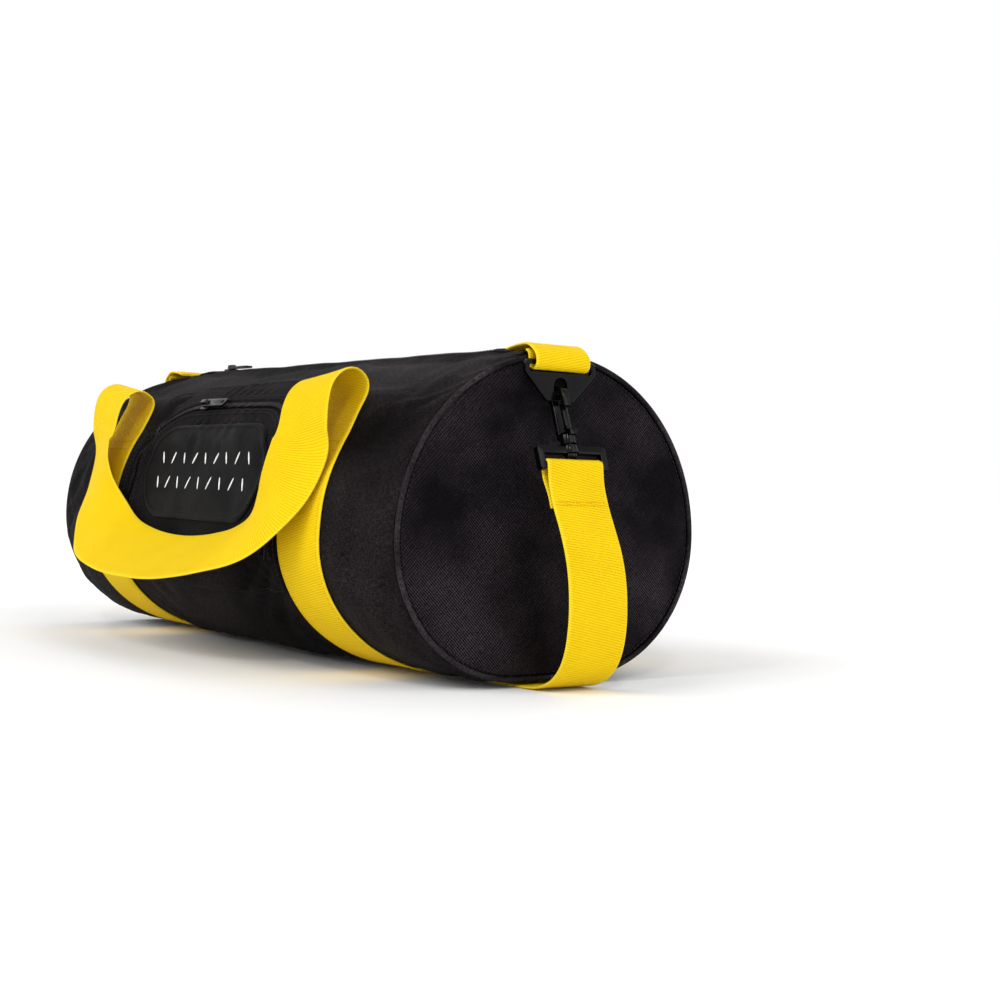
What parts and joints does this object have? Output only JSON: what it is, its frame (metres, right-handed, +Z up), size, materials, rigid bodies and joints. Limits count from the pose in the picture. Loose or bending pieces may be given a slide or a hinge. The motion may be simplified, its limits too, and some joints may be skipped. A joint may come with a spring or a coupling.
{
  "type": "rope storage bag",
  "caption": "Zipped barrel bag for rope, with webbing carry handles, a zipped front pocket and a clip-on shoulder strap laid under it.",
  "frame": {"origin": "on the ground under the middle of the bag", "axes": "+X along the barrel towards its right end panel, -Y towards the zipped pocket, +Z up"},
  "size_m": [0.574, 0.3418, 0.2095],
  "materials": {
    "fabric": "black coated polyester weave",
    "webbing": "yellow ribbed webbing",
    "piping": "black covered cord",
    "binding": "black binding tape",
    "zip_tape": "black woven tape",
    "zip_coil": "black nylon coil",
    "zip_metal": "black enamelled die casting",
    "hardware": "black moulded acetal",
    "patch": "smooth black moulded patch"
  },
  "bodies": {
    "bag": {"barrel_shell": "fabric", "end_panel_right": "fabric", "piping_right": "piping", "seam_binding_right": "binding", "main_zip_end_tab_right": "fabric", "handle_band_right": "webbing", "ring_tab_right": "webbing", "end_panel_left": "fabric", "piping_left": "piping", "seam_binding_left": "binding", "main_zip_end_tab_left": "fabric", "handle_band_left": "webbing", "ring_tab_left": "webbing", "main_zip_tape_front": "zip_tape", "main_zip_tape_back": "zip_tape", "main_zip_coil": "zip_coil", "pocket_panel": "fabric", "pocket_zip_tape": "zip_tape", "pocket_zip_coil": "zip_coil", "patch": "patch", "shoulder_strap": "webbing"},
    "main_zip_slider": {"main_zip_slider": "zip_metal"},
    "main_zip_pull": {"main_zip_pull": "zip_metal"},
    "pocket_zip_slider": {"pocket_zip_slider": "zip_metal"},
    "pocket_zip_pull": {"pocket_zip_pull": "zip_metal"},
    "handle_front": {"handle_loop_front": "webbing"},
    "handle_back": {"handle_loop_back": "webbing"},
    "ring_right": {"ring_right": "hardware"},
    "swivel_base_right": {"swivel_base_right": "hardware"},
    "hook_right": {"hook_right": "hardware"},
    "hook_gate_right": {"hook_gate_right": "hardware"},
    "ring_left": {"ring_left": "hardware"},
    "swivel_base_left": {"swivel_base_left": "hardware"},
    "hook_left": {"hook_left": "hardware"},
    "hook_gate_left": {"hook_gate_left": "hardware"}
  },
  "joints": [
    {"name": "main_zip_slide", "type": "slide", "parent": "bag", "child": "main_zip_slider", "axis": [1, 0, 0], "range_m": [0, 0.364]},
    {"name": "main_zip_pull_flip", "type": "hinge", "parent": "main_zip_slider", "child": "main_zip_pull", "pos_m": [-0.182, 0, 0.2071], "axis": [0, -1, 0], "range_deg": [0, 150]},
    {"name": "pocket_zip_slide", "type": "slide", "parent": "bag", "child": "pocket_zip_slider", "axis": [1, 0, 0], "range_m": [0, 0.08]},
    {"name": "pocket_zip_pull_flip", "type": "hinge", "parent": "pocket_zip_slider", "child": "pocket_zip_pull", "pos_m": [-0.04, -0.09289, 0.17084], "axis": [0, -0.7037, -0.7105], "range_deg": [0, 150]},
    {"name": "handle_front_lift", "type": "hinge", "parent": "bag", "child": "handle_front", "pos_m": [0, -0.1016, 0.18593], "axis": [-1, 0, 0], "range_deg": [0, 165]},
    {"name": "handle_back_lift", "type": "hinge", "parent": "bag", "child": "handle_back", "pos_m": [0, 0.1016, 0.18593], "axis": [1, 0, 0], "range_deg": [0, 165]},
    {"name": "hook_tilt_right", "type": "hinge", "parent": "bag", "child": "swivel_base_right", "pos_m": [0.26155, -0.006, 0.13283], "axis": [0, 1, 0], "range_deg": [0, 4]},
    {"name": "ring_swing_right", "type": "hinge", "parent": "bag", "child": "ring_right", "pos_m": [0.2465, -0.006, 0.193], "axis": [0, -1, 0], "range_deg": [0, 9.6]},
    {"name": "hook_swivel_right", "type": "hinge", "parent": "swivel_base_right", "child": "hook_right", "pos_m": [0.26155, -0.006, 0.13283], "axis": [-0.3502, 0, 0.9367], "range_deg": [-12, 12]},
    {"name": "hook_gate_right", "type": "hinge", "parent": "hook_right", "child": "hook_gate_right", "pos_m": [0.25608, -0.006, 0.15459], "axis": [0, -1, 0], "range_deg": [0, 13], "stiffness_Nm_per_rad": 0.002, "springref_deg": -17.19},
    {"name": "hook_tilt_left", "type": "hinge", "parent": "bag", "child": "swivel_base_left", "pos_m": [-0.26155, -0.006, 0.13283], "axis": [0, -1, 0], "range_deg": [0, 4]},
    {"name": "ring_swing_left", "type": "hinge", "parent": "bag", "child": "ring_left", "pos_m": [-0.2465, -0.006, 0.193], "axis": [0, 1, 0], "range_deg": [0, 9.6]},
    {"name": "hook_swivel_left", "type": "hinge", "parent": "swivel_base_left", "child": "hook_left", "pos_m": [-0.26155, -0.006, 0.13283], "axis": [0.3502, 0, 0.9367], "range_deg": [-12, 12]},
    {"name": "hook_gate_left", "type": "hinge", "parent": "hook_left", "child": "hook_gate_left", "pos_m": [-0.25608, -0.006, 0.15459], "axis": [0, 1, 0], "range_deg": [0, 13], "stiffness_Nm_per_rad": 0.002, "springref_deg": -17.19}
  ],
  "couplings": [
    {"joint": "ring_swing_right", "follows": "hook_tilt_right", "ratio": 2.395},
    {"joint": "ring_swing_left", "follows": "hook_tilt_left", "ratio": 2.395}
  ]
}
